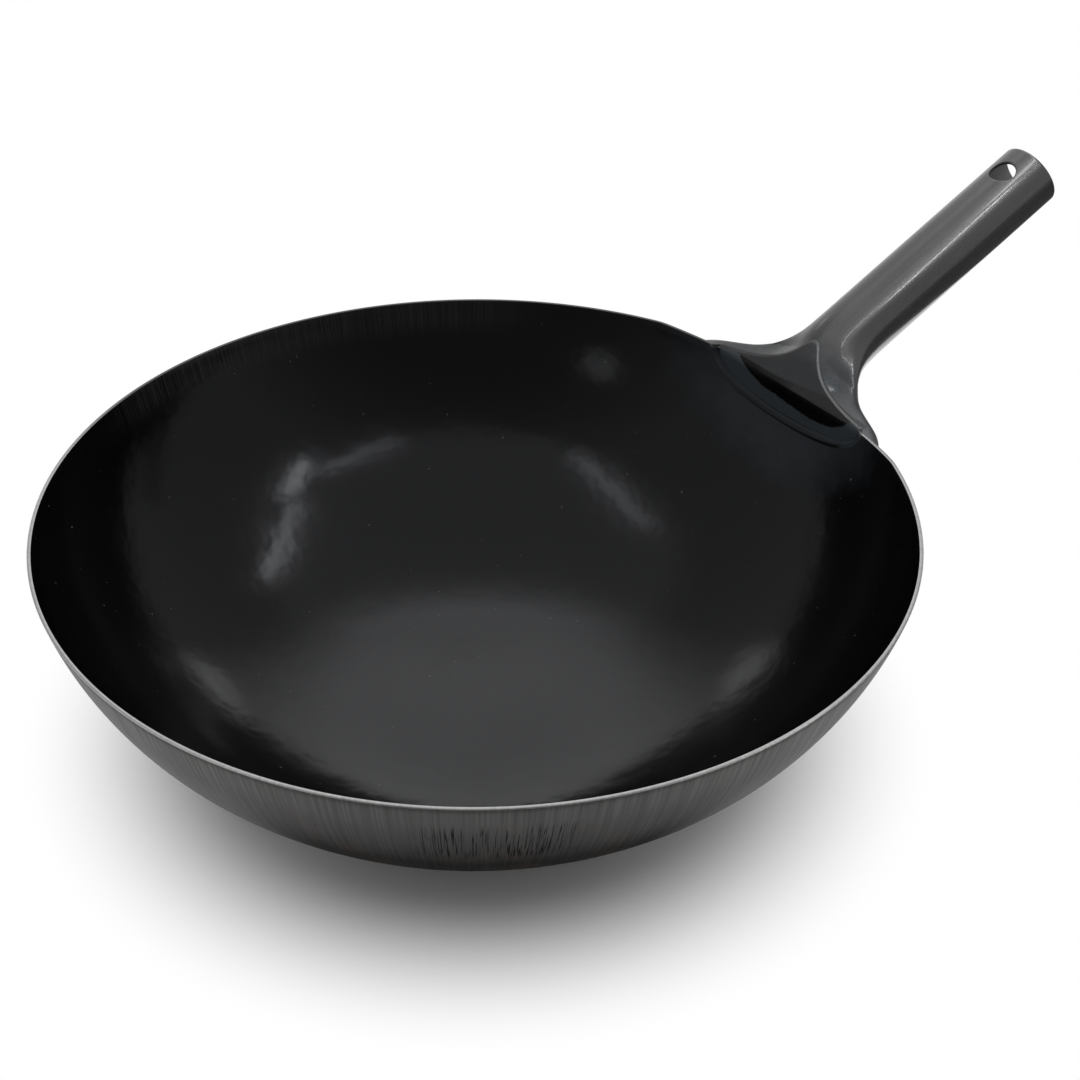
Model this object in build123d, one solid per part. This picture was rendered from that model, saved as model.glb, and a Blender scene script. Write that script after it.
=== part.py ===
"""A carbon steel wok: a pressed bowl with a rolled sheet handle welded to its rim.

Millimetres. The origin is the centre of the flat base, +Z is up, and the handle points along +X.
"""
from build123d import *

import math
import os

# Bowl
rim_radius = 180.0
bowl_depth = 103.0
base_radius = 46.0
bowl_sheet = 1.6
dip_depth = 4.6  # the rim sinks this far beside the handle
dip_width = 150.0

# Handle tube
tube_radius = 15.0
handle_sheet = 1.6
tube_rise_degrees = 23.7
tube_reach = 151.6  # from the rim circle to the open end, along the tube
axis_drop = 1.3  # the tube's axis crosses the rim circle this far below the rim
hanging_hole_diameter = 12.0
hanging_hole_setback = 15.3  # from the open end to the hole's centre
seam_gap = 0.8  # between the rolled sheet's two edges, underneath
seam_mouth_width = 9.0  # where the two edges part at the bowl's wall
seam_mouth_reach = 16.0

# Flared root, with stations measured out from the rim circle along the tube
flare_reach = 46.0
wing_span = 104.0  # across both wings where they stand clear of the bowl
wing_drop = 2.2  # the wings' tips lie this far below the tube's axis
wing_bulge = 5.6  # half height of the rounded fold along a wing's edge
root_flattening = 4.5  # the top line sinks this far towards the root
flattening_length = 4.0
levelling_length = 2.0
forming_width = 12.0  # a wing this much wider than the tube has its full shape

# Facet between the ridges, and the tongue that closes the notch in the bowl
facet_slope_degrees = 51.0
bend_setback = 7.4  # from the rim circle inwards
bend_drop = 3.4  # below the rim
bend_radius = 6.0
notch_width = 92.0
notch_depth = 17.6  # below the rim

# Welds
weld_gap = 2.0
bead_width = 2.2
bead_height = 1.2

overrun = 60.0  # how far cutting bodies pass beyond what they cut

# Stations of the flare's sections as shares of its reach, with the wing's half-width there
# as a share of the way from the tube's radius to half the wing span.
wing_station_shares = [
    (-0.5, 1.42),
    (-0.304, 1.27),
    (-0.087, 1.0),
    (0.087, 0.52),
    (0.26, 0.262),
    (0.41, 0.125),
    (0.56, 0.045),
    (0.71, 0.011),
    (0.86, 0.001),
]
# Control points of a quarter section, from the top line out to the side.
quarter_out_shares = [0, 0.3314, 0.6313, 0.8657, 1, 1]
quarter_up_shares = [1, 1, 0.8657, 0.6313, 0.3314, 0]
upper_lean_shares = [0, 0, 0.2, 0.3, 1, 1]
lower_lean_shares = [0, 0, 0.05, 0.45, 1, 1]
upper_flank_shares = [0.73, 0.06]  # heights of the two control points between top line and fold
flattening_share = 0.35  # station where half the flattening is reached
levelling_share = 0.4  # how much of its slope the core loses inside the bowl
fold_setback_share = 1.4  # how far the hollow stays back from the wing's fold, in sheets

tube_rise = math.radians(tube_rise_degrees)
facet_slope = math.radians(facet_slope_degrees)
axis_start = Vector(rim_radius, 0, bowl_depth - axis_drop)
along = Vector(math.cos(tube_rise), 0, math.sin(tube_rise))
upright = Vector(-math.sin(tube_rise), 0, math.cos(tube_rise))
across = Vector(0, 1, 0)
wall_radius = ((rim_radius - base_radius) ** 2 + bowl_depth**2) / (2 * bowl_depth)


def axis_point(station):
    """A point on the handle's axis, a distance out from the rim circle."""
    return axis_start + along * station


def axis_plane(station):
    """The plane square to the handle's axis, with local X across and local Y up."""
    return Plane(origin=axis_point(station), x_dir=across, z_dir=along)


def bowl_body(offset):
    """Everything inside the bowl's outer wall and above it, drawn in by an offset."""
    radius = wall_radius - offset
    sweep = math.asin((wall_radius - bowl_depth) / radius)
    middle = (math.pi / 2 + sweep) / 2
    rim_point = (base_radius + radius * math.cos(sweep), bowl_depth)
    arc_point = (base_radius + radius * math.cos(middle), wall_radius - radius * math.sin(middle))
    top = bowl_depth + overrun
    outline = Wire(
        [
            Line((0, offset), (base_radius, offset)),
            ThreePointArc((base_radius, offset), arc_point, rim_point),
            Line(rim_point, (rim_point[0], top)),
            Line((rim_point[0], top), (0, top)),
            Line((0, top), (0, offset)),
        ]
    )
    return revolve(Plane.XZ * Face(outline), Axis.Z)


def bowl_sector(offset):
    """The same body near the handle only, whose cuts against the flared root stay exact."""
    block = Pos(rim_radius, 0, 0) * Box(rim_radius, 2 * wing_span, 2 * (bowl_depth + overrun))
    return bowl_body(offset) & block


def quarter_points(station, width_share, offset):
    """Control points of a section's upper and lower quarter, across and up from the axis."""
    radius = tube_radius - offset
    lean = (wing_span / 2 - tube_radius) * width_share
    formed = min(1, lean / forming_width)
    lean -= offset * (fold_setback_share - 1) * formed
    flattened = root_flattening / (
        1 + math.exp((station - flattening_share * flare_reach) / flattening_length)
    )
    levelled = levelling_share * levelling_length * math.sin(tube_rise) * math.log(
        1 + math.exp(-(station + levelling_length) / levelling_length)
    )
    fold = levelled - wing_drop * formed
    crown = levelled + radius - flattened
    bulge = wing_bulge - offset
    upper = []
    lower = []
    for out_share, up_share, upper_lean, lower_lean in zip(
        quarter_out_shares, quarter_up_shares, upper_lean_shares, lower_lean_shares
    ):
        upper.append([radius * out_share + lean * upper_lean, fold + (crown - fold) * up_share])
        lower.append([radius * out_share + lean * lower_lean, fold - (radius + fold) * up_share])
    upper_targets = [fold + (crown - fold) * share for share in upper_flank_shares] + [fold + bulge]
    for point, target in zip(upper[2:5], upper_targets):
        point[1] += (target - point[1]) * formed
    lower[4][1] += (fold - bulge - lower[4][1]) * formed
    return upper, lower


def section_wire(station, width_share, offset):
    """A closed flare section, drawn in by an offset, from four curves."""
    centre = axis_point(station)
    upper, lower = quarter_points(station, width_share, offset)
    edges = []
    for side in (across, -across):
        upper_run = [centre + side * y + upright * height for y, height in upper]
        lower_run = [centre + side * y + upright * height for y, height in lower]
        if side == across:
            edges += [Bezier(*upper_run), Bezier(*reversed(lower_run))]
        else:
            edges += [Bezier(*lower_run), Bezier(*reversed(upper_run))]
    return Wire(edges)


def circle_wire(station, radius):
    """The tube's round section as four quarter arcs."""
    plane = axis_plane(station)
    return Wire([plane * CenterArc((0, 0), radius, start, -90) for start in (90, 0, -90, -180)])


def flare_body(offset):
    """The flared root as one body, drawn in by an offset except at its end inside the bowl."""
    stations = [station_share * flare_reach for station_share, _ in wing_station_shares]
    stations[0] -= offset
    wires = []
    for station, (_, width_share) in zip(stations, wing_station_shares):
        wires.append(section_wire(station, width_share, offset))
    wires.append(circle_wire(flare_reach, tube_radius - offset))
    return Solid.make_loft(wires)


def tube_body(offset, reach):
    """The handle's straight round length as one solid bar, drawn in by an offset."""
    bar = Cylinder(tube_radius - offset, reach - flare_reach, align=(Align.CENTER, Align.CENTER, Align.MIN))
    return axis_plane(flare_reach) * bar


def facet_cutter(offset):
    """What lies inside and above the facet and its tongue, moved out into them by an offset."""
    bend_x = rim_radius - bend_setback + offset
    shift = offset * (1 - math.sin(facet_slope)) / math.cos(facet_slope)
    bend_z = bowl_depth - bend_drop - shift
    far = overrun
    outline = Polyline(
        (bend_x, bend_z - far),
        (bend_x, bend_z),
        (bend_x + far * math.cos(facet_slope), bend_z + far * math.sin(facet_slope)),
        (bend_x - far, bend_z + far * math.sin(facet_slope)),
        (bend_x - far, bend_z - far),
        close=True,
    )
    face = Face(Wire(outline.edges()))
    corner = face.vertices().sort_by_distance(Vector(bend_x, bend_z, 0))[0]
    face = face.fillet_2d(bend_radius - offset, [corner])
    width = notch_width + 2 * offset
    return extrude(Plane.XZ * face, amount=width / 2, both=True)


def notch_body(growth):
    """The opening in the bowl's wall for the tongue, as a prism along X, grown all round."""
    half_width = notch_width / 2 + growth
    level = bowl_depth - bend_drop
    depth = notch_depth - bend_drop + growth
    top = bowl_depth + overrun
    curve = EllipticalCenterArc((0, level), half_width, depth, start_angle=180, arc_size=180)
    outline = Wire(
        [
            curve,
            Line((half_width, level), (half_width, top)),
            Line((half_width, top), (-half_width, top)),
            Line((-half_width, top), (-half_width, level)),
        ]
    )
    plane = Plane(origin=(rim_radius - overrun, 0, 0), x_dir=(0, 1, 0), z_dir=(1, 0, 0))
    return extrude(plane * Face(outline), amount=2 * overrun)


def dip_body():
    """The round scoop that lowers the rim beside the handle."""
    radius = ((dip_width / 2) ** 2 + dip_depth**2) / (2 * dip_depth)
    centre = (0, bowl_depth - dip_depth + radius)
    plane = Plane(origin=(rim_radius - overrun, 0, 0), x_dir=(0, 1, 0), z_dir=(1, 0, 0))
    return extrude(plane * Pos(*centre) * Circle(radius), amount=2 * overrun)


def above_rim():
    """Everything above the level of the rim."""
    size = 4 * rim_radius
    return Pos(0, 0, bowl_depth) * Box(size, size, size, align=(Align.CENTER, Align.CENTER, Align.MIN))


def make_bowl_shell():
    """The pressed bowl with its rim dipped beside the handle, before its notch is cut."""
    return bowl_body(0) - bowl_body(bowl_sheet) - above_rim() - dip_body()


def seam_slot():
    """The open seam between the rolled sheet's edges, under the tube, with its mouth at the bowl."""
    start = axis_plane(-flare_reach) * Pos(0, -tube_radius, 0)
    slot = start * Box(
        seam_gap,
        tube_radius,
        tube_reach + flare_reach + overrun,
        align=(Align.CENTER, Align.CENTER, Align.MIN),
    )
    tip = seam_mouth_reach
    widest = seam_mouth_width * (tip + flare_reach) / tip
    outline = Wire(
        Polyline((tip, 0), (-flare_reach, widest / 2), (-flare_reach, -widest / 2), close=True).edges()
    )
    flat = Plane(origin=axis_point(0) - upright * tube_radius, x_dir=along, z_dir=upright)
    mouth = extrude(flat * Face(outline), amount=tube_radius / 2, both=True)
    return slot + mouth


def make_handle():
    """The rolled sheet handle: tube, flared root, facet and tongue."""
    outside = flare_body(0) + tube_body(0, tube_reach)
    inside = flare_body(handle_sheet) + tube_body(handle_sheet, tube_reach + overrun)
    notch = notch_body(0)
    skin = outside - inside - facet_cutter(0) - seam_slot()
    plate = (facet_cutter(handle_sheet) - facet_cutter(0)) & notch & outside
    joined = (skin + plate - (bowl_sector(0) - notch)).solids()
    handle = max(joined, key=lambda solid: solid.volume)
    hole_plane = axis_plane(tube_reach - hanging_hole_setback) * Rot(-90, 0, 0)
    hole = hole_plane * Cylinder(
        hanging_hole_diameter / 2, overrun, align=(Align.CENTER, Align.CENTER, Align.MIN)
    )
    return handle - hole


def make_wing_weld(side):
    """The bead that runs under one wing on the bowl's outer wall, from the seam's mouth to the tip."""
    station_share, width_share = wing_station_shares[1]
    station = station_share * flare_reach
    section = Face(section_wire(station, width_share, 0))
    wing = extrude(section, amount=flare_reach, dir=along, both=True)
    outward = Align.MIN if side > 0 else Align.MAX
    half = Pos(rim_radius, side * seam_mouth_width / 2, axis_point(station).Z) * Box(
        rim_radius, wing_span, bowl_depth, align=(Align.CENTER, outward, Align.MAX)
    )
    bead = (bowl_sector(-bead_height) - bowl_sector(0)) & half
    return (bead & Pos(0, 0, -bead_width) * wing) - wing


bowl_shell = make_bowl_shell()
tongue_notch = notch_body(0)
handle = make_handle()
weld_notch = notch_body(weld_gap)
nodes = {
    "bowl": bowl_shell - weld_notch,
    "handle": handle,
    "root_weld": bowl_shell & (weld_notch - tongue_notch),
    "wing_weld_left": make_wing_weld(1) - handle,
    "wing_weld_right": make_wing_weld(-1) - handle,
}

os.makedirs("parts", exist_ok=True)
for name, shape in nodes.items():
    print(name, [round(solid.volume, 1) for solid in shape.solids()])
    export_step(shape, f"parts/{name}.step")
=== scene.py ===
"""The looks of a carbon steel wok: dark lacquered bowl, polished rim, rolled handle and dressed welds.

Metres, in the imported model's frame: the base's centre is the origin, +Z is up and the handle points
along +X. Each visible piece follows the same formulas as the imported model, with rounded edges.
"""

import math

import bmesh
import bpy
import numpy as np
from mathutils import Matrix, Vector


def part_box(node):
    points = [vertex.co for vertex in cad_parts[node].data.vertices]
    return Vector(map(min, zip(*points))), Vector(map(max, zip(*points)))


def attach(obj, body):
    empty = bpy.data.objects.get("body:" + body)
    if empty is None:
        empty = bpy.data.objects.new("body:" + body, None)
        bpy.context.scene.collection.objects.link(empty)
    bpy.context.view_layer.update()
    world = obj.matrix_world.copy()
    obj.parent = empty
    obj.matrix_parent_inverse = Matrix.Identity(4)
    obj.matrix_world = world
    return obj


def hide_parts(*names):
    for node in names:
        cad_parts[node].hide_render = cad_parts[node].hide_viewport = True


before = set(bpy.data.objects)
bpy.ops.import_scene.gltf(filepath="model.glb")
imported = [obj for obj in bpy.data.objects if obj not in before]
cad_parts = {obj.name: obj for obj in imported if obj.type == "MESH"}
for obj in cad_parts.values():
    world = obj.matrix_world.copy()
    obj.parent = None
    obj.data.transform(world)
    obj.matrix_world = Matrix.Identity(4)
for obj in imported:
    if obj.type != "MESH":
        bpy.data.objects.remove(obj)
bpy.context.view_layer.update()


# Bowl
rim_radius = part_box("bowl")[1][1]
bowl_depth = 0.103
base_radius = 0.046
sheet = 0.0016
dip_depth = 0.0046
dip_width = 0.150
edge_round = 0.0004

# Handle
tube_radius = 0.015
tube_rise = math.radians(23.7)
tube_reach = 0.1516
axis_drop = 0.0013
hole_radius = 0.006
hole_setback = 0.0153
hole_half = 0.0095  # half side of the square of finer mesh round the hole
seam_gap = 0.0008
mouth_width = 0.009
mouth_reach = 0.016

# Flared root
flare_reach = 0.046  # stations are measured out from the rim circle
wing_span = 0.104
wing_drop = 0.0022
wing_bulge = 0.0056
root_flattening = 0.0045
flattening_length = 0.004
levelling_length = 0.002
forming_width = 0.012
ridge_round = 0.0020
wing_station_shares = np.array([-0.5, -0.304, -0.087, 0.087, 0.26, 0.41, 0.56, 0.71, 0.86, 1.0, 1.2])
wing_width_shares = np.array([1.42, 1.27, 1.0, 0.52, 0.262, 0.125, 0.045, 0.011, 0.001, 0, 0])
quarter_out_shares = np.array([0, 0.3314, 0.6313, 0.8657, 1, 1])
quarter_up_shares = np.array([1, 1, 0.8657, 0.6313, 0.3314, 0])
upper_lean_shares = np.array([0, 0, 0.2, 0.3, 1, 1])
lower_lean_shares = np.array([0, 0, 0.05, 0.45, 1, 1])
upper_flank_shares = [0.73, 0.06]
flattening_share = 0.35
levelling_share = 0.4
fold_setback_share = 1.4

# Facet and tongue
facet_slope = math.radians(51)
bend_setback = 0.0074
bend_drop = 0.0034
bend_radius = 0.006
notch_width = 0.092
notch_depth = 0.0176
weld_gap = 0.002
weld_over_bowl = 0.0014  # how far the dressed strip covers the bowl's wall
weld_over_tongue = 0.0004
weld_lift = 0.00015

# Marks, painted sheen and painted shade on the bowl: heights above the base, and turns round it from +X
disc_blend = 0.010
disc_rise = 0.00036
scratch_heights = (bowl_depth - 0.017, bowl_depth - 0.006)
scratch_turn = math.radians(83)
scratch_half = math.radians(42)
scuff_foot = (0.063, 0.070)
scuff_top = (0.094, 0.086)
scuff_turn = math.radians(-123.5)
scuff_half = 0.20
# Painted shade low on the front of the outside, where the wall reflects the floor's shadow
front_shade_heights = (0.095, 0.055)
front_shade_turn = math.radians(-125)
front_shade_half = math.radians(36)
# The band under the rim that is painted lighter as a sheen
sheen_heights = (0.082, bowl_depth - 0.002)
# Painted shade darkens the rim at the back
rim_shade_turn = math.radians(62)
rim_shade_half = math.radians(75)

# Marks and painted shade on the handle's root
bowl_tint_reach = 0.046
root_tint_reach = 0.030
dull_shade_reach = 0.060
tongue_half = (0.0475, 0.0455)
crease_offset = 0.0028
lens_half = 0.0355
lens_shift = 0.0035
lens_depth = 0.0094
lens_foot = 0.0014
lens_climb = 0.0024

# Studio
table_right = 0.33
table_front = 0.34
table_far = 6.0
shadow_fade = (0.113, 0.198)  # the shadow gives way to white between these distances from the axis
sweep_edge = 0.72  # cosine of the turn from straight ahead at which the white sweep ends

# Camera
camera_elevation = math.radians(34.13)
camera_azimuth = math.radians(-126.0)
camera_roll = math.radians(-0.29)
camera_distance = 0.8727
sensor_width = 36.0
lens_length = 71.5
rim_centre_shift = (0.0603, -0.0271)

along = np.array([math.cos(tube_rise), 0, math.sin(tube_rise)])
upright = np.array([-math.sin(tube_rise), 0, math.cos(tube_rise)])
across = np.array([0, 1, 0])
axis_start = np.array([rim_radius, 0, bowl_depth - axis_drop])
rim_centre = Vector((0, 0, bowl_depth))
wall_radius = ((rim_radius - base_radius) ** 2 + bowl_depth**2) / (2 * bowl_depth)
bend_x = rim_radius - bend_setback
bend_z = bowl_depth - bend_drop
wing_stations = wing_station_shares * flare_reach
fine_stations = np.linspace(flare_reach, wing_stations[0], 1400)
bend_length = bend_radius * math.tan((math.pi / 2 - facet_slope) / 2)


def wall_reach(heights, inset):
    """Radius of the bowl's wall at some heights, drawn in by an inset."""
    return base_radius + np.sqrt((wall_radius - inset) ** 2 - (wall_radius - heights) ** 2)


def rim_height(x, y):
    """Height of the rim's edge, which dips beside the handle."""
    radius = ((dip_width / 2) ** 2 + dip_depth**2) / (2 * dip_depth)
    dipped = bowl_depth - dip_depth + radius - np.sqrt(np.maximum(radius**2 - y**2, 0))
    return np.where((x > 0) & (np.abs(y) < dip_width / 2), np.minimum(dipped, bowl_depth), bowl_depth)


def notch_height(y, growth):
    """Height of the notch's rounded lower edge; above the rim outside the notch."""
    half = notch_width / 2 + growth
    depth = notch_depth - bend_drop + growth
    inside = np.maximum(1 - (y / half) ** 2, 0)
    return np.where(np.abs(y) < half, bend_z - depth * np.sqrt(inside), 2 * bowl_depth)


def hermite(x, knots, values):
    """A smooth curve through a table's values."""
    slopes = np.gradient(values, knots)
    k = np.clip(np.searchsorted(knots, x) - 1, 0, len(knots) - 2)
    span = knots[k + 1] - knots[k]
    t = np.clip((x - knots[k]) / span, 0, 1)
    start = (1 + 2 * t) * (1 - t) ** 2 * values[k] + t * (1 - t) ** 2 * span * slopes[k]
    end = t**2 * (3 - 2 * t) * values[k + 1] + t**2 * (t - 1) * span * slopes[k + 1]
    return start + end


def quarter_controls(stations, offset, upper):
    """Control points of the handle's quarter sections, across and up, one set for each station."""
    radius = tube_radius - offset
    width = hermite(stations, wing_stations, wing_width_shares)
    lean = (wing_span / 2 - tube_radius) * np.maximum(width, 0)
    formed = np.minimum(1, lean / forming_width)
    lean = lean - offset * (fold_setback_share - 1) * formed
    fall = np.exp(np.minimum((stations - flattening_share * flare_reach) / flattening_length, 50))
    flattened = root_flattening / (1 + fall)
    inner_run = np.log(1 + np.exp(-(stations + levelling_length) / levelling_length))
    levelled = levelling_share * levelling_length * math.sin(tube_rise) * inner_run
    fold = levelled - wing_drop * formed
    crown = levelled + radius - flattened
    leans = upper_lean_shares if upper else lower_lean_shares
    outs = radius * quarter_out_shares + lean[:, None] * leans
    if upper:
        ups = fold[:, None] + (crown - fold)[:, None] * quarter_up_shares
        targets = [fold + (crown - fold) * share for share in upper_flank_shares]
        targets.append(fold + wing_bulge - offset)
        for index, target in zip((2, 3, 4), targets):
            ups[:, index] += (target - ups[:, index]) * formed
    else:
        ups = fold[:, None] - (radius + fold)[:, None] * quarter_up_shares
        ups[:, 4] += (fold - wing_bulge + offset - ups[:, 4]) * formed
    return np.stack([outs, ups], axis=2)


def bezier_weights(t):
    """Weights of the six control points of a fifth-degree curve."""
    t = np.asarray(t, float)[..., None]
    k = np.arange(6)
    counts = np.array([math.comb(5, n) for n in k])
    return counts * t**k * (1 - t) ** (5 - k)


def seam_edge(stations):
    """Half width of the open seam, which widens into a mouth at the bowl."""
    mouth = mouth_width / 2 * (mouth_reach - stations) / mouth_reach
    return np.maximum(mouth, seam_gap / 2)


def handle_line(line, stations, offset):
    """Points of one lengthwise line. Lines run from 0 on top to 1 at the side and 2 at the seam."""
    stations = np.atleast_1d(np.asarray(stations, float))
    upper = line <= 1
    controls = quarter_controls(stations, offset, upper)
    if upper:
        t = np.full(len(stations), line)
    else:
        fine = np.linspace(0, 0.5, 60)
        rows = np.einsum("fk,sk->sf", bezier_weights(fine), controls[:, :, 0])
        edges = seam_edge(stations)
        start = np.array([np.interp(edge, row, fine) for edge, row in zip(edges, rows)])
        t = 1 - (line - 1) * (1 - start)
    local = np.einsum("sk,skc->sc", bezier_weights(t), controls)
    centre = axis_start + stations[:, None] * along
    return centre + local[:, :1] * across + local[:, 1:] * upright


def facet_height(x):
    """Height of the facet and its rounded bend above the tongue."""
    slope = bend_z + (x - bend_x) * math.tan(facet_slope)
    reach = np.maximum(bend_radius**2 - (x - bend_x - bend_radius) ** 2, 0)
    bend = bend_z - bend_length + np.sqrt(reach)
    return np.where(x < bend_x + bend_length * math.cos(facet_slope), bend, slope)


def facet_profile(top, bottom):
    """Points down the facet from one height, round the bend and down the tongue to another."""
    turn = np.linspace(math.pi / 2 + facet_slope, math.pi, 14)
    centre = (bend_x + bend_radius, bend_z - bend_length)
    points = [(bend_x + bend_radius * 3, bend_z + bend_radius * 3 * math.tan(facet_slope))]
    points += [(centre[0] + bend_radius * math.cos(a), centre[1] + bend_radius * math.sin(a)) for a in turn]
    points.append((bend_x, bend_z - 2 * notch_depth))
    points = np.array(points)
    levels = np.linspace(top, bottom, 240)
    x = np.interp(levels, points[::-1, 1], points[::-1, 0])
    return np.stack([x, levels], axis=1)


def first_crossing(stations, inside):
    """The station where a line first passes into a cut, as a value between two samples."""
    over = inside > 0
    if not over.any():
        return stations[-1]
    k = max(int(np.argmax(over)), 1)
    a = inside[k - 1]
    b = inside[k]
    return stations[k - 1] + (stations[k] - stations[k - 1]) * a / (a - b)


def resample(points, start, end, count):
    """Evenly spaced points along a polyline between two distances from its start."""
    steps = np.linalg.norm(np.diff(points, axis=0), axis=1)
    run = np.concatenate([[0], np.cumsum(steps)])
    wanted = np.linspace(start, end, count)
    return np.stack([np.interp(wanted, run, points[:, axis]) for axis in range(3)], axis=1), run[-1]


def cut_station(line, offset, to_facet):
    """Where a line meets the facet, or else the middle of the bowl's wall or of the tongue."""
    points = handle_line(line, fine_stations, offset)
    x = points[:, 0]
    z = points[:, 2]
    if to_facet:
        inside = np.where(x > bend_x, z - facet_height(x), wing_span)
    else:
        y = points[:, 1]
        inside = wall_reach(np.clip(z, 0, bowl_depth), sheet / 2) - np.hypot(x, y)
        in_notch = (z > notch_height(y, weld_gap)) & (np.abs(y) < notch_width / 2 - weld_gap)
        inside = np.where(in_notch, np.maximum(inside, bend_x + sheet / 2 - x), inside)
    return first_crossing(fine_stations, inside)


def last_facet_line():
    """The line whose ridge point lies over the notch's side."""
    lines = np.linspace(0.2, 0.99, 80)
    sides = []
    for line in lines:
        station = cut_station(line, 0, True)
        sides.append(handle_line(line, station, 0)[0, 1])
    sides = np.array(sides)
    return float(np.interp(notch_width / 2, sides, lines))


def make_mesh(name, grids, sharp_angle=math.radians(40)):
    """One object from grids of points; meeting edges are joined. A grid is (points, material index)."""
    vertices = []
    faces = []
    indices = []
    start = 0
    for points, material in grids:
        rows, columns = points.shape[:2]
        vertices.append(points.reshape(-1, 3))
        ids = start + np.arange(rows * columns).reshape(rows, columns)
        quads = np.stack([ids[:-1, :-1], ids[1:, :-1], ids[1:, 1:], ids[:-1, 1:]], axis=-1)
        faces.append(quads.reshape(-1, 4))
        if np.ndim(material) == 0:
            material = np.full(rows - 1, material)
        indices.append(np.repeat(material, columns - 1))
        start += rows * columns
    mesh = bpy.data.meshes.new(name)
    mesh.from_pydata(np.concatenate(vertices).tolist(), [], np.concatenate(faces).tolist())
    mesh.polygons.foreach_set("material_index", np.concatenate(indices).astype(int))
    work = bmesh.new()
    work.from_mesh(mesh)
    bmesh.ops.remove_doubles(work, verts=work.verts, dist=2e-6)
    bmesh.ops.dissolve_degenerate(work, edges=work.edges, dist=1e-6)
    bmesh.ops.recalc_face_normals(work, faces=work.faces)
    work.to_mesh(mesh)
    work.free()
    mesh.shade_smooth()
    mesh.set_sharp_from_angle(angle=sharp_angle)
    piece = bpy.data.objects.new(name, mesh)
    bpy.context.scene.collection.objects.link(piece)
    return piece


def bowl_ends(angles, inset):
    """Height where each column of the wall ends: at the rim, or at the notch beside the handle."""
    levels = np.linspace(0.75 * bowl_depth, bowl_depth, 900)
    radii = wall_reach(levels, inset)
    ends = []
    for angle in angles:
        x = radii * math.cos(angle)
        y = radii * math.sin(angle)
        limit = rim_height(x, y)
        if math.cos(angle) > 0:
            limit = np.minimum(limit, notch_height(y, weld_gap))
        ends.append(first_crossing(levels, levels - limit + edge_round))
    return np.array(ends)


def make_bowl():
    """The bowl as columns from the outer base's centre, over the rim, to the inner base's centre.

    Materials: 0 outside, 1 inside, 2 rim.
    """
    fine = np.radians(24)
    plain_turn = np.linspace(fine, 2 * math.pi - fine, 313)[:-1]
    angles = np.concatenate([plain_turn, np.linspace(-fine, fine, 241)])
    arc = np.linspace(0, 1, 64)
    rings = np.linspace(0, 1, 12)[:-1]
    columns = []
    outer_ends = bowl_ends(angles, 0)
    inner_ends = bowl_ends(angles, sheet)
    for angle, outer_end, inner_end in zip(angles, outer_ends, inner_ends):
        runs = []
        for inset, end in ((0, outer_end), (sheet, inner_end)):
            radius = wall_radius - inset
            sweep = math.acos((wall_radius - end) / radius) * arc
            r = base_radius + radius * np.sin(sweep)
            z = wall_radius - radius * np.cos(sweep)
            r = np.concatenate([rings * base_radius, r])
            z = np.concatenate([np.full(len(rings), inset), z])
            runs.append(np.stack([r * math.cos(angle), r * math.sin(angle), z], axis=1))
        outer, inner = runs
        reach = inner[-1] - outer[-1]
        side = edge_round / sheet
        up = np.array([0, 0, edge_round])
        lip = [outer[-1] + reach * 0.3 * side + up * 0.7, outer[-1] + reach * side + up]
        lip += [inner[-1] - reach * side + up, inner[-1] - reach * 0.3 * side + up * 0.7]
        columns.append(np.concatenate([outer, lip, inner[::-1]]))
    points = np.stack(columns, axis=1)
    count = len(arc) + len(rings)
    materials = np.zeros(len(points) - 1)
    materials[count - 1 : count + 3] = 2
    materials[count + 3 :] = 1
    return make_mesh("bowl_body", [(points, materials)])


def facet_column(line, end, rows, turn, drop_rows):
    """One line of the upper root: along the handle, over the rounded ridge and down the facet."""
    path = handle_line(line, np.linspace(flare_reach, end, 300), 0)
    corner = path[-1]
    profile = facet_profile(corner[2], min(notch_height(corner[1], 0), corner[2]))
    down = np.stack([profile[:, 0], np.full(len(profile), corner[1]), profile[:, 1]], axis=1)
    down[0] = corner
    down_length = resample(down, 0, 0, 1)[1]
    path_length = resample(path, 0, 0, 1)[1]
    reach = min(ridge_round, down_length / 2)
    first = resample(path, 0, path_length - ridge_round, rows)[0]
    last = resample(down, reach, down_length, drop_rows)[0]
    middle = (1 - turn) ** 2 * first[-1] + 2 * turn * (1 - turn) * corner + turn**2 * last[0]
    return np.concatenate([first, middle, last])


def open_end(lines):
    """The open end's rounded edge, from the outer face to the inner one."""
    mouth = []
    for share, offset in ((1, 0), (0.3, 0.3 * edge_round), (0, edge_round)):
        mouth.append((tube_reach - share * edge_round, offset))
    for share, offset in ((0, edge_round), (0.3, 0.3 * edge_round), (1, 0)):
        mouth.append((tube_reach - share * edge_round, sheet - offset))
    return np.array([[handle_line(line, station, offset)[0] for line in lines] for station, offset in mouth])


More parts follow.
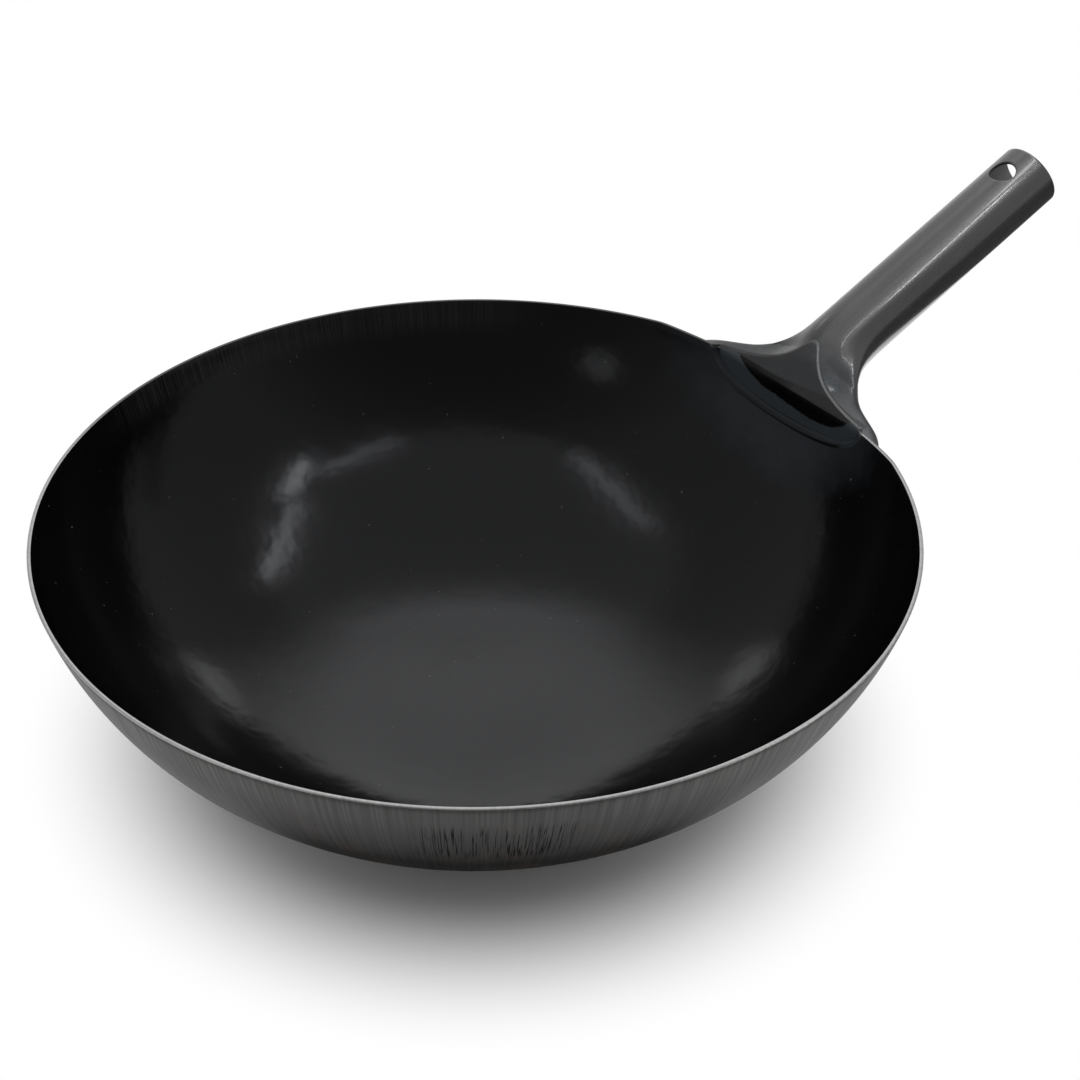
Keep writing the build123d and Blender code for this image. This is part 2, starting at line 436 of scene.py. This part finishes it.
def hanging_hole(columns, hole_rows, hole_station):
    """Rings from a square in the tube's grid to the hole's rounded edge, and through the wall."""
    sides = [tube_radius * math.sin(line * math.pi / 2) for line in columns]
    edge = [(hole_rows[0], y) for y in sides]
    edge += [(station, sides[-1]) for station in hole_rows[1:-1]]
    edge += [(hole_rows[-1], y) for y in reversed(sides)]
    local = np.array(edge) - np.array([hole_station, 0])
    direction = local / np.linalg.norm(local, axis=1)[:, None]
    rings = []
    for offset, order in ((0, 1), (sheet, -1)):
        side_rings = []
        for share in np.linspace(0, 1, 12):
            flat = local * (1 - share) + direction * (hole_radius + edge_round) * share
            side_rings.append((flat, offset, 0))
        side_rings.append((direction * (hole_radius + 0.3 * edge_round), offset, 0.3 * edge_round))
        side_rings.append((direction * hole_radius, offset, edge_round))
        rings += side_rings[::order]
    surface = []
    for flat, offset, sink in rings:
        radius = tube_radius - offset
        y = flat[:, 1]
        # Points of the square keep their turn round the tube, so they meet the grids of both faces
        on_square = np.abs(y - local[:, 1]) < 1e-9
        y = np.where(on_square, y * radius / tube_radius, y)
        height = np.sqrt(radius**2 - y**2) + (sink if offset else -sink)
        stations = (hole_station + flat[:, 0])[:, None]
        surface.append(axis_start + stations * along + y[:, None] * across + height[:, None] * upright)
    return np.array(surface)


def make_handle():
    """The rolled handle with its flared root, facet and tongue.

    Materials: 0 outside, 1 inside, 2 cut edge, 3 ridge with a painted highlight.
    """
    split = last_facet_line()
    upper_lines = list(np.linspace(0, split, 56))
    upper_count = len(upper_lines)
    lines = upper_lines + list(np.linspace(split, 1, 22)[1:]) + list(np.linspace(1, 2, 50)[1:])
    hole_station = tube_reach - hole_setback
    upper_sides = tube_radius * np.sin(np.array(upper_lines) * math.pi / 2)
    hole_line = int(np.argmin(np.abs(upper_sides - hole_half)))
    end_rows = np.linspace(tube_reach - edge_round, hole_station + hole_half, 8)
    hole_rows = np.linspace(hole_station + hole_half, hole_station - hole_half, 29)
    body_rows = np.linspace(hole_station - hole_half, flare_reach, 60)
    rows = 90
    turn = np.linspace(0, 1, 11)[1:-1, None]
    drop_rows = 60

    outer_root = []
    inner_root = []
    for index, line in enumerate(lines):
        on_facet = index < upper_count
        end = cut_station(line, 0, on_facet)
        if on_facet:
            outer_root.append(facet_column(line, end, rows, turn, drop_rows))
        else:
            first = handle_line(line, np.linspace(flare_reach, end, rows), 0)
            outer_root.append(np.concatenate([first, np.repeat(first[-1:], len(turn) + drop_rows, axis=0)]))
        inner_end = end + 3 * sheet if on_facet else cut_station(line, sheet, False)
        inner_root.append(handle_line(line, np.linspace(flare_reach, inner_end, rows), sheet))
    outer_root = np.stack(outer_root, axis=1)
    inner_root = np.stack(inner_root, axis=1)

    # Only the middle of the rounded ridge gets the painted highlight
    root_materials = np.zeros(len(outer_root) - 1)
    root_materials[rows + 2 : rows + len(turn) - 3] = 3
    grids = [(outer_root[:, :upper_count], root_materials), (outer_root[:, upper_count - 1 :], 0)]
    grids.append((inner_root, 1))
    for offset, material in ((0, 0), (sheet, 1)):
        for zone_rows, zone_lines in ((end_rows, lines), (hole_rows, lines[hole_line:]), (body_rows, lines)):
            zone = np.stack([handle_line(line, zone_rows, offset) for line in zone_lines], axis=1)
            grids.append((zone, material))
    grids.append((open_end(lines), 2))

    # The seam's two edges
    seam_rows = np.concatenate([end_rows, hole_rows[1:], body_rows[1:]])
    outer_edge = np.concatenate([handle_line(2, seam_rows, 0), outer_root[1:rows, -1]])
    inner_edge = np.concatenate([handle_line(2, seam_rows, sheet), inner_root[1:rows, -1]])
    grids.append((np.stack([outer_edge, inner_edge], axis=1), 1))
    grids.append((hanging_hole(lines[: hole_line + 1], hole_rows, hole_station), 0))

    mirrored = [(grid * np.array([1, -1, 1]), material) for grid, material in grids]
    return make_mesh("handle_body", grids + mirrored, math.radians(50))


def make_root_weld():
    """The dressed weld that closes the gap between the bowl's notch and the tongue."""
    turns = np.linspace(0, math.pi, 161)
    cover = (weld_over_bowl + 2 * edge_round) / (weld_gap + weld_over_bowl + weld_over_tongue)
    rows = []
    for share in np.linspace(0, 1, 17):
        growth = (weld_gap + weld_over_bowl) * (1 - share) - weld_over_tongue * share
        half = notch_width / 2 + growth
        depth = notch_depth - bend_drop + growth
        y = half * np.cos(turns)
        z = bend_z - depth * np.sin(turns)
        rise = np.linspace(1, 0, 6)[:-1] * (rim_height(bend_x, half) - bend_z)
        y = np.concatenate([np.full(len(rise), half), y, np.full(len(rise), -half)])
        z = np.concatenate([bend_z + rise, z, bend_z + rise[::-1]])
        wall = np.sqrt(np.maximum(wall_reach(z, sheet + weld_lift) ** 2 - y**2, 0))
        run = max(share - cover, 0) / (1 - cover)
        blend = run**3 * (10 - 15 * run + 6 * run**2)
        x = wall * (1 - blend) + bend_x * blend
        rows.append(np.stack([x, y, z], axis=1))
    return make_mesh("root_weld_bead", [(np.array(rows), 0)], math.radians(80))


class Nodes:
    """A node tree with short ways to add nodes."""

    def __init__(self, tree):
        self.tree = tree

    def add(self, kind, **settings):
        node = self.tree.nodes.new(kind)
        for key, value in settings.items():
            setattr(node, key, value)
        return node

    def feed(self, socket, value):
        if isinstance(value, bpy.types.NodeSocket):
            self.tree.links.new(value, socket)
        else:
            socket.default_value = value

    def math(self, operation, *values):
        node = self.add("ShaderNodeMath", operation=operation)
        for socket, value in zip(node.inputs, values):
            self.feed(socket, value)
        return node.outputs[0]

    def ramp(self, value, low, high, out_low=0.0, out_high=1.0):
        node = self.add("ShaderNodeMapRange", interpolation_type="SMOOTHSTEP")
        for socket, item in zip(node.inputs, (value, low, high, out_low, out_high)):
            self.feed(socket, item)
        return node.outputs[0]

    def split(self, vector):
        node = self.add("ShaderNodeSeparateXYZ")
        self.feed(node.inputs[0], vector)
        return node.outputs

    def join(self, x, y, z):
        node = self.add("ShaderNodeCombineXYZ")
        for socket, value in zip(node.inputs, (x, y, z)):
            self.feed(socket, value)
        return node.outputs[0]

    def noise(self, vector, scale, detail=2.0, roughness=0.5):
        node = self.add("ShaderNodeTexNoise")
        self.feed(node.inputs["Vector"], vector)
        node.inputs["Scale"].default_value = scale
        node.inputs["Detail"].default_value = detail
        node.inputs["Roughness"].default_value = roughness
        return node.outputs["Fac"]

    def mix(self, factor, first, second):
        # A Mix node keeps its colour sockets at inputs 6 and 7 and at output 2
        node = self.add("ShaderNodeMix", data_type="RGBA")
        self.feed(node.inputs[0], factor)
        self.feed(node.inputs[6], first)
        self.feed(node.inputs[7], second)
        return node.outputs[2]

    def bump(self, height, distance, strength=1.0, base=None):
        node = self.add("ShaderNodeBump")
        node.inputs["Strength"].default_value = strength
        node.inputs["Distance"].default_value = distance
        self.feed(node.inputs["Height"], height)
        if base is not None:
            self.feed(node.inputs["Normal"], base)
        return node.outputs[0]

    def length(self, *values):
        """The root of the sum of some values' squares."""
        total = self.math("MULTIPLY", values[0], values[0])
        for value in values[1:]:
            total = self.math("ADD", total, self.math("MULTIPLY", value, value))
        return self.math("SQRT", total)


class Recipe(Nodes):
    """A material's nodes, with its shader and the place in the object's own space."""

    def __init__(self, name):
        self.material = bpy.data.materials.new(name)
        self.material.use_nodes = True
        super().__init__(self.material.node_tree)
        self.shader = self.tree.nodes["Principled BSDF"]
        self.place = self.add("ShaderNodeTexCoord").outputs["Object"]

    def set(self, **values):
        for name, value in values.items():
            self.feed(self.shader.inputs[name.replace("_", " ")], value)


def grey(level):
    """A neutral colour."""
    return (level, level, level, 1)


def from_axis(recipe):
    """Distance from the bowl's axis."""
    x, y, _ = recipe.split(recipe.place)
    return recipe.length(x, y)


def ring_place(recipe, around, down):
    """Coordinates for streaks that run down the wall: quick round the bowl and slow down it."""
    x, y, z = recipe.split(recipe.place)
    reach = recipe.math("MAXIMUM", from_axis(recipe), 0.001)
    turn_x = recipe.math("MULTIPLY", recipe.math("DIVIDE", x, reach), around)
    turn_y = recipe.math("MULTIPLY", recipe.math("DIVIDE", y, reach), around)
    return recipe.join(turn_x, turn_y, recipe.math("MULTIPLY", z, down))


def ragged(recipe, scale, width):
    """A small offset that makes a mask's edge uneven over a width."""
    uneven = recipe.math("SUBTRACT", recipe.noise(recipe.place, scale, 3.0), 0.5)
    return recipe.math("MULTIPLY", uneven, width)


def root_tint_and_shade(recipe, reach, spread):
    """1 at the handle's root and 0 beyond a reach, drawn out sideways by a spread, for the heat tint and for
    the painted shade on the root's left.
    """
    x, y, z = recipe.split(recipe.place)
    dx = recipe.math("SUBTRACT", x, bend_x)
    dy = recipe.math("DIVIDE", y, spread)
    dz = recipe.math("SUBTRACT", z, bend_z)
    away = recipe.math("ADD", recipe.length(dx, dy, dz), ragged(recipe, 70.0, 0.02))
    return recipe.ramp(away, reach, reach * 0.4)


def turn_mask(recipe, middle, half):
    """1 on the bowl within a half angle of an azimuth, both in radians, fading at its ends."""
    x, y, _ = recipe.split(recipe.place)
    angle = recipe.math("ARCTAN2", y, x)
    away = recipe.math("ABSOLUTE", recipe.math("SUBTRACT", angle, middle))
    return recipe.ramp(away, half, half * 0.6)


def lacquer_inside():
    """Near-black lacquered steel with a soft gloss, fine scratches under the rim and tiny specks."""
    r = Recipe("lacquer_inside")
    streaks = r.noise(ring_place(r, 700.0, 9.0), 1.0, 4.0)
    rings = r.noise(ring_place(r, 4.0, 2200.0), 1.0, 2.0)
    haze = r.noise(r.place, 14.0, 3.0)
    near_rim = r.ramp(r.split(r.place)[2], *scratch_heights)
    scratched = r.math("MULTIPLY", near_rim, turn_mask(r, scratch_turn, scratch_half))
    marks = r.math("MAXIMUM", r.ramp(streaks, 0.42, 0.6), r.ramp(rings, 0.55, 0.7, 0.0, 0.6))
    scratch = r.math("MULTIPLY", marks, scratched)
    specks = r.ramp(r.noise(r.place, 520.0, 0.0), 0.865, 0.885)
    tint = root_tint_and_shade(r, bowl_tint_reach, 1.7)

    colour = r.mix(tint, (0.0022, 0.0022, 0.0024, 1), (0.019, 0.024, 0.029, 1))
    colour = r.mix(r.math("MULTIPLY", scratch, 0.75), colour, (0.034, 0.032, 0.032, 1))
    colour = r.mix(r.math("MULTIPLY", specks, 0.6), colour, grey(0.10))
    rough = r.math("ADD", r.ramp(haze, 0.3, 0.7, 0.13, 0.18), r.math("MULTIPLY", scratch, 0.1))
    rough = r.math("ADD", rough, r.math("MULTIPLY", tint, 0.2))

    # The pressed disc's soft edge, the sheet's gentle wave and the scratches, one on the other
    disc_edge = r.ramp(from_axis(r), base_radius - disc_blend, base_radius + disc_blend)
    relief = r.bump(disc_edge, disc_rise)
    relief = r.bump(r.noise(r.place, 30.0, 3.5, 0.55), 0.0012, 0.33, relief)
    relief = r.bump(r.math("MULTIPLY", streaks, scratched), 0.00003, 0.5, relief)
    r.set(Base_Color=colour, Roughness=rough, IOR=1.48, Specular_Tint=(0.94, 0.96, 1.0, 1), Normal=relief)
    return r.material


def brushed_outside():
    """Dark warm-grey steel with streaks down the wall, faint brown mottling, a scuffed patch, a lighter band
    under the rim that is a painted sheen, and painted shade that dulls the shine low on the front.
    """
    r = Recipe("brushed_outside")
    fine = r.noise(ring_place(r, 150.0, 12.0), 1.0, 4.0, 0.6)
    broad = r.noise(ring_place(r, 10.0, 60.0), 1.0, 4.0)
    scuffs = r.noise(ring_place(r, 380.0, 50.0), 1.0, 2.0)
    brown = r.ramp(r.noise(r.place, 45.0, 4.0), 0.45, 0.7, 0.0, 0.6)
    z = r.split(r.place)[2]
    # Painted sheen: a lighter, streaky band under the rim, standing in for the bright table that the upper
    # wall reflects
    painted_sheen = r.math("MULTIPLY", r.ramp(z, *sheen_heights), r.ramp(fine, 0.25, 0.75, 0.4, 1.0))
    band = r.math("MULTIPLY", r.ramp(z, *scuff_foot), r.ramp(z, *scuff_top))
    band = r.math("MULTIPLY", band, turn_mask(r, scuff_turn, scuff_half))
    scuffed = r.math("MULTIPLY", band, r.ramp(scuffs, 0.55, 0.6))
    # Painted shade: less shine and more roughness low on the front, where the wall reflects the floor's
    # shadow
    front_shade = r.math("MULTIPLY", r.ramp(z, *front_shade_heights), turn_mask(r, front_shade_turn, front_shade_half))

    colour = r.mix(broad, (0.005, 0.0047, 0.0045, 1), (0.013, 0.0125, 0.012, 1))
    colour = r.mix(brown, colour, (0.030, 0.018, 0.013, 1))
    colour = r.mix(painted_sheen, colour, (0.078, 0.077, 0.075, 1))
    colour = r.mix(scuffed, colour, grey(0.0015))
    rough = r.math("ADD", r.ramp(fine, 0.3, 0.7, 0.50, 0.40), r.math("MULTIPLY", scuffed, 0.2))
    rough = r.math("ADD", rough, r.math("MULTIPLY", front_shade, 0.14))
    shine = r.math("SUBTRACT", 0.27, r.math("MULTIPLY", front_shade, 0.25))
    shine = r.math("MULTIPLY", shine, r.math("SUBTRACT", 1.0, r.math("MULTIPLY", scuffed, 0.7)))
    relief = r.bump(r.math("SUBTRACT", fine, scuffed), 0.00006, 0.6)
    r.set(Base_Color=colour, Roughness=rough, Specular_IOR_Level=shine, Normal=relief)
    return r.material


def polished_rim():
    """The rim's bare edge, finished by grinding, with painted shade darkening it at the back."""
    r = Recipe("polished_rim")
    fine = r.noise(ring_place(r, 160.0, 20.0), 1.0, 3.0)
    # Painted shade: the rim is painted darker at the back
    back_shade = turn_mask(r, rim_shade_turn, rim_shade_half)
    colour = r.mix(fine, grey(0.34), (0.62, 0.62, 0.61, 1))
    colour = r.mix(r.math("MULTIPLY", back_shade, 0.9), colour, grey(0.07))
    r.set(Base_Color=colour, Metallic=0.95, Roughness=0.3, Normal=r.bump(fine, 0.00003, 0.4))
    return r.material


def handle_place(recipe, along_scale, across_scale):
    """Coordinates along and across the tube, for marks that run along it."""
    node = recipe.add("ShaderNodeVectorRotate", rotation_type="Y_AXIS")
    recipe.feed(node.inputs["Vector"], recipe.place)
    node.inputs["Angle"].default_value = tube_rise
    x, y, z = recipe.split(node.outputs[0])
    x = recipe.math("MULTIPLY", x, along_scale)
    y = recipe.math("MULTIPLY", y, across_scale)
    z = recipe.math("MULTIPLY", z, across_scale)
    return recipe.join(x, y, z)


def tongue_masks(recipe):
    """1 on the tongue and its bend, and 1 on a lens at their top that is painted near-black as shade."""
    x, y, z = recipe.split(recipe.place)
    foot = bend_x + lens_foot
    limit = recipe.ramp(y, 0.015, -0.03, foot, foot + lens_climb)
    on_tongue = recipe.ramp(recipe.math("SUBTRACT", x, limit), 0.0002, -0.0001)
    between = recipe.ramp(recipe.math("ABSOLUTE", y), *tongue_half)
    on_tongue = recipe.math("MULTIPLY", on_tongue, between)
    share = recipe.math("DIVIDE", recipe.math("ADD", y, lens_shift), lens_half)
    bow = recipe.math("SUBTRACT", 1.0, recipe.math("POWER", recipe.math("ABSOLUTE", share), 3.5))
    skew = recipe.math("EXPONENT", recipe.math("MULTIPLY", recipe.math("ADD", share, 0.4), -0.25))
    depth = recipe.math("MULTIPLY", recipe.math("MULTIPLY", bow, skew), lens_depth)
    below = recipe.math("SUBTRACT", bend_z + bend_length / 2, z)
    left = recipe.math("ADD", recipe.math("SUBTRACT", depth, below), ragged(recipe, 160.0, 0.002))
    return on_tongue, recipe.ramp(left, -0.0004, 0.0004)


def lacquer_handle():
    """Dark semi-gloss lacquered steel, blue-grey where the weld's heat reached; on the left flank and the
    left of the root it is painted darker as shade and loses its coat, and the root's left is also rougher.
    """
    r = Recipe("lacquer_handle")
    drawn = r.noise(handle_place(r, 30.0, 900.0), 1.0, 3.0)
    smear = r.noise(handle_place(r, 20.0, 80.0), 1.0, 3.0)
    on_tongue, lens = tongue_masks(r)
    matte = r.math("MULTIPLY", on_tongue, r.math("SUBTRACT", 1.0, lens))
    black = r.math("MULTIPLY", on_tongue, lens)
    tint = root_tint_and_shade(r, root_tint_reach, 2.6)
    y = r.split(r.place)[1]
    # Painted shade: the left of the root and the left flank are painted darker, less metallic and without
    # coat
    dull = r.math("MULTIPLY", root_tint_and_shade(r, dull_shade_reach, 1.6), r.ramp(y, 0.002, 0.022))
    left_flank_shade = r.ramp(y, -0.006, 0.006, 0.0, 0.8)
    shade = r.math("MAXIMUM", r.math("MULTIPLY", dull, 0.7), left_flank_shade)

    colour = r.mix(smear, (0.17, 0.17, 0.174, 1), (0.25, 0.25, 0.255, 1))
    colour = r.mix(tint, colour, (0.06, 0.067, 0.074, 1))
    # Painted shade on the left
    colour = r.mix(shade, colour, (0.05, 0.051, 0.053, 1))
    colour = r.mix(matte, colour, (0.050, 0.062, 0.073, 1))
    # Painted shade: the lens at the top of the tongue is painted near-black
    colour = r.mix(black, colour, grey(0.002))
    rough = r.math("MULTIPLY", r.math("MAXIMUM", matte, dull), 0.2)
    rough = r.math("ADD", r.ramp(drawn, 0.3, 0.7, 0.24, 0.32), rough)
    metal = r.math("SUBTRACT", 0.9, r.math("MULTIPLY", left_flank_shade, 0.6))
    metal = r.math("MULTIPLY", r.math("SUBTRACT", 1.0, on_tongue), metal)
    coat = r.math("SUBTRACT", 1.0, r.math("MAXIMUM", matte, r.math("MAXIMUM", dull, left_flank_shade)))
    wave = r.bump(r.noise(r.place, 50.0, 1.0), 0.0003, 0.06)
    relief = r.bump(drawn, 0.000004, 0.2, wave)
    r.set(Base_Color=colour, Metallic=metal, Roughness=rough, Normal=relief)
    r.set(Coat_Weight=coat, Coat_Roughness=0.07, Coat_IOR=1.5, Coat_Normal=wave)
    return r.material


def ridge_painted_highlight():
    """The root's ridges, painted brighter than the lacquer beside them as a painted highlight, with painted
    shade making them darker on the left.
    """
    r = Recipe("ridge_painted_highlight")
    smear = r.noise(handle_place(r, 60.0, 60.0), 1.0, 3.0)
    # Painted highlight along the ridge, and painted shade on its left
    dull = r.ramp(r.split(r.place)[1], -0.005, 0.015)
    colour = r.mix(smear, (0.26, 0.26, 0.265, 1), (0.42, 0.42, 0.425, 1))
    colour = r.mix(r.math("MULTIPLY", dull, 0.8), colour, (0.10, 0.10, 0.103, 1))
    r.set(Base_Color=colour, Metallic=0.95, Roughness=r.ramp(smear, 0.3, 0.7, 0.24, 0.34))
    return r.material


def tube_inside():
    """The rolled sheet's inner face, unlacquered and dull."""
    r = Recipe("tube_inside")
    smear = r.noise(handle_place(r, 30.0, 200.0), 1.0, 4.0)
    colour = r.mix(smear, (0.22, 0.218, 0.215, 1), (0.38, 0.377, 0.373, 1))
    r.set(Base_Color=colour, Metallic=0.4, Roughness=r.ramp(smear, 0.3, 0.7, 0.4, 0.55))
    return r.material


def cut_edge():
    """The sheet's cut edge at the open end."""
    r = Recipe("cut_edge")
    fine = r.noise(r.place, 1500.0, 2.0)
    colour = r.mix(fine, grey(0.2), grey(0.36))
    r.set(Base_Color=colour, Metallic=0.9, Roughness=0.35, Normal=r.bump(fine, 0.00005, 0.4))
    return r.material


def dressed_weld():
    """Weld metal dressed by grinding and tinted by heat, with a thin line of painted shade in the crease
    along the tongue.
    """
    r = Recipe("dressed_weld")
    grind = r.noise(handle_place(r, 500.0, 500.0), 1.0, 4.0)
    _, y, z = r.split(r.place)
    wide = r.math("DIVIDE", y, notch_width / 2 + crease_offset)
    deep = r.math("DIVIDE", r.math("SUBTRACT", z, bend_z), notch_depth - bend_drop + crease_offset)
    off_line = r.math("ABSOLUTE", r.math("SUBTRACT", r.length(wide, deep), 1.0))
    width = r.ramp(y, 0.028, -0.036, 0.012, 0.045)
    crease = r.ramp(off_line, width, r.math("MULTIPLY", width, 0.4))
    between = r.math("MULTIPLY", r.ramp(y, 0.033, 0.024), r.ramp(y, -0.041, -0.035))
    crease = r.math("MULTIPLY", crease, between)
    top_edge = r.ramp(z, bend_z - 0.0008, bend_z + 0.0002)

    colour = r.mix(grind, (0.016, 0.020, 0.024, 1), (0.028, 0.034, 0.040, 1))
    # Painted shade: a thin near-black line in the crease along the tongue
    colour = r.mix(crease, colour, grey(0.001))
    colour = r.mix(top_edge, colour, grey(0.08))
    r.set(Base_Color=colour, Roughness=0.5, Specular_IOR_Level=0.2, Normal=r.bump(grind, 0.0002, 0.4))
    return r.material


def wing_bead():
    """The rippled weld run under the wings."""
    r = Recipe("wing_bead")
    ripple = r.noise(ring_place(r, 160.0, 200.0), 1.0, 2.0)
    colour = r.mix(ripple, (0.05, 0.05, 0.052, 1), (0.14, 0.14, 0.145, 1))
    r.set(Base_Color=colour, Metallic=0.8, Roughness=0.45, Normal=r.bump(ripple, 0.0005, 0.8))
    return r.material


def make_floor():
    """A pale table that keeps the object's shadow and shows white beyond it."""
    toward = np.array([math.cos(camera_azimuth), math.sin(camera_azimuth), 0])
    rightward = np.array([-math.sin(camera_azimuth), math.cos(camera_azimuth), 0])
    left_edge, right_edge = -table_far * rightward, table_right * rightward
    front_edge, far_edge = table_front * toward, -table_far * toward
    outline = (left_edge + front_edge, right_edge + front_edge, right_edge + far_edge, left_edge + far_edge)
    mesh = bpy.data.meshes.new("floor")
    mesh.from_pydata([point.tolist() for point in outline], [], [(0, 1, 2, 3)])
    table = bpy.data.objects.new("floor", mesh)
    bpy.context.scene.collection.objects.link(table)

    paper = Recipe("floor_white")
    paper.set(Base_Color=grey(0.93), Roughness=0.9, Specular_IOR_Level=0.0)
    spread = paper.add("ShaderNodeVectorMath", operation="LENGTH")
    paper.feed(spread.inputs[0], paper.place)
    rays = paper.add("ShaderNodeLightPath").outputs
    seen = paper.math("MAXIMUM", rays["Is Camera Ray"], rays["Is Glossy Ray"])
    seen = paper.math("MAXIMUM", seen, rays["Is Transmission Ray"])
    bare = paper.math("MULTIPLY", paper.ramp(spread.outputs["Value"], *shadow_fade), seen)
    white = paper.add("ShaderNodeEmission")
    blend = paper.add("ShaderNodeMixShader")
    paper.feed(blend.inputs[0], bare)
    paper.feed(blend.inputs[1], paper.shader.outputs[0])
    paper.feed(blend.inputs[2], white.outputs[0])
    paper.feed(paper.tree.nodes["Material Output"].inputs["Surface"], blend.outputs[0])
    table.data.materials.append(paper.material)
    return table


class Studio(Nodes):
    """The world's nodes, which give a brightness for each direction."""

    def __init__(self, name):
        world = bpy.data.worlds.new(name)
        world.use_nodes = True
        bpy.context.scene.world = world
        super().__init__(world.node_tree)
        self.background = self.tree.nodes["Background"]
        self.direction = self.add("ShaderNodeTexCoord").outputs["Generated"]

    def facing(self, azimuth, elevation):
        """How far a ray points in one direction, from -1 to 1."""
        node = self.add("ShaderNodeVectorMath", operation="DOT_PRODUCT")
        self.feed(node.inputs[0], self.direction)
        out = math.cos(elevation)
        towards = (math.cos(azimuth) * out, math.sin(azimuth) * out, math.sin(elevation))
        node.inputs[1].default_value = towards
        return node.outputs["Value"]

    def lobe(self, azimuth, elevation, inner, outer, radiance):
        """A soft round glow in one direction, all in degrees."""
        edges = (math.cos(math.radians(outer)), math.cos(math.radians(inner)))
        facing = self.facing(math.radians(azimuth), math.radians(elevation))
        return self.ramp(facing, *edges, 0.0, radiance)


def light_world():
    """Even soft light; in reflections a white sweep behind the bowl that fades to a dim room."""
    s = Studio("studio")
    up = s.split(s.direction)[2]
    ahead = s.facing(camera_azimuth + math.pi, 0)

    # The sweep, narrow in azimuth and open to a set height
    flat = s.math("SUBTRACT", 1.0, s.math("MULTIPLY", up, up))
    flat = s.math("SQRT", s.math("MAXIMUM", flat, 0.0001))
    straight = s.math("SUBTRACT", s.math("DIVIDE", ahead, flat), sweep_edge)
    straight = s.math("MAXIMUM", s.math("DIVIDE", straight, 1 - sweep_edge), 0.0)
    sweep_level = s.math("ADD", s.ramp(up, 0.96, 0.80, 0.0, 0.75), s.ramp(up, 0.0, -0.1, 0.0, 0.25))
    sweep = s.math("MULTIPLY", s.math("POWER", straight, 2.5), sweep_level)

    # The room: darker behind the camera and below, with a lighter ceiling
    room = s.ramp(ahead, -0.9, -0.3, 0.12, 0.28)
    room = s.math("MULTIPLY", room, s.ramp(up, -0.08, 0.0, 0.25, 1.0))
    room = s.math("MAXIMUM", room, s.ramp(up, 0.70, 0.80, 0.0, 0.42))
    mirrored = s.math("ADD", room, sweep)
    for glow in (s.lobe(26, 21, 2, 8, 1.2), s.lobe(84, 21, 2, 8, 1.2), s.lobe(-162, 20, 2, 7, 0.5)):
        mirrored = s.math("ADD", mirrored, glow)

    # Diffuse rays see a soft gradient, and camera and transmission rays see plain white
    soft = s.ramp(ahead, -0.7, 0.7, 0.3, 1.5)
    rays = s.add("ShaderNodeLightPath").outputs
    strength = s.add("ShaderNodeMix", data_type="FLOAT")
    s.feed(strength.inputs[0], rays["Is Diffuse Ray"])
    s.feed(strength.inputs[2], mirrored)
    s.feed(strength.inputs[3], soft)
    clear = s.math("MAXIMUM", rays["Is Camera Ray"], rays["Is Transmission Ray"])
    s.background.inputs["Color"].default_value = grey(1)
    s.feed(s.background.inputs["Strength"], s.math("MAXIMUM", strength.outputs[0], clear))


def add_bar(name, start, end, width, power):
    """A soft bar lamp between two points round the rim's centre that faces the bowl."""
    start = Vector(start)
    end = Vector(end)
    data = bpy.data.lights.new(name, "AREA")
    data.shape = "RECTANGLE"
    data.size = (end - start).length
    data.size_y = width
    data.energy = power
    lamp = bpy.data.objects.new(name, data)
    bpy.context.scene.collection.objects.link(lamp)
    middle = (start + end) / 2
    side = (end - start).normalized()
    away = (middle - side * middle.dot(side)).normalized()
    turned = Matrix((side, away.cross(side), away)).transposed().to_4x4()
    lamp.matrix_world = Matrix.Translation(rim_centre + middle) @ turned


def place_camera():
    """A camera aimed at the rim's centre, rolled a little and shifted to the photo's framing."""
    out = math.cos(camera_elevation)
    back = Vector(
        (out * math.cos(camera_azimuth), out * math.sin(camera_azimuth), math.sin(camera_elevation))
    )
    level_right = Vector((-math.sin(camera_azimuth), math.cos(camera_azimuth), 0))
    level_up = back.cross(level_right)
    right = level_right * math.cos(camera_roll) + level_up * math.sin(camera_roll)
    up = level_up * math.cos(camera_roll) - level_right * math.sin(camera_roll)
    data = bpy.data.cameras.new("camera")
    data.sensor_width = sensor_width
    data.lens = lens_length
    data.shift_x, data.shift_y = rim_centre_shift
    camera = bpy.data.objects.new("camera", data)
    bpy.context.scene.collection.objects.link(camera)
    turned = Matrix((right, up, back)).transposed().to_4x4()
    camera.matrix_world = Matrix.Translation(rim_centre + back * camera_distance) @ turned
    bpy.context.scene.camera = camera


# The pieces and what they replace
bowl = make_bowl()
handle = make_handle()
root_weld = make_root_weld()
for piece, node, slot, materials in (
    (bowl, "bowl", "bowl_steel", (brushed_outside(), lacquer_inside(), polished_rim())),
    (handle, "handle", "handle_steel", (lacquer_handle(), tube_inside(), cut_edge(), ridge_painted_highlight())),
    (root_weld, "root_weld", "weld_steel", (dressed_weld(),)),
):
    for material in materials:
        piece.data.materials.append(material)
    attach(piece, "root")
    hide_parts(node)

bead_material = wing_bead()
for name in ("wing_weld_left", "wing_weld_right"):
    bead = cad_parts[name]
    bead.data.materials.clear()
    bead.data.materials.append(bead_material)

# The studio; each bar draws one bright line: on the handle, on its root, and on the bowl's back wall
floor = make_floor()
light_world()
add_bar("handle_bar", (0.284, -0.376, 0.50), (0.364, -0.226, 0.498), 0.016, 0.095)
add_bar("root_bar", (0.25, -0.295, 0.50), (0.01, -0.315, 0.50), 0.010, 0.042)
add_bar("right_bar", (0.33, -0.18, 0.497), (0.446, 0.082, 0.491), 0.03, 0.11)
add_bar("left_bar", (-0.324, -0.010, 0.538), (-0.189, 0.316, 0.544), 0.03, 0.065)
place_camera()
bpy.context.scene.view_settings.view_transform = "Standard"
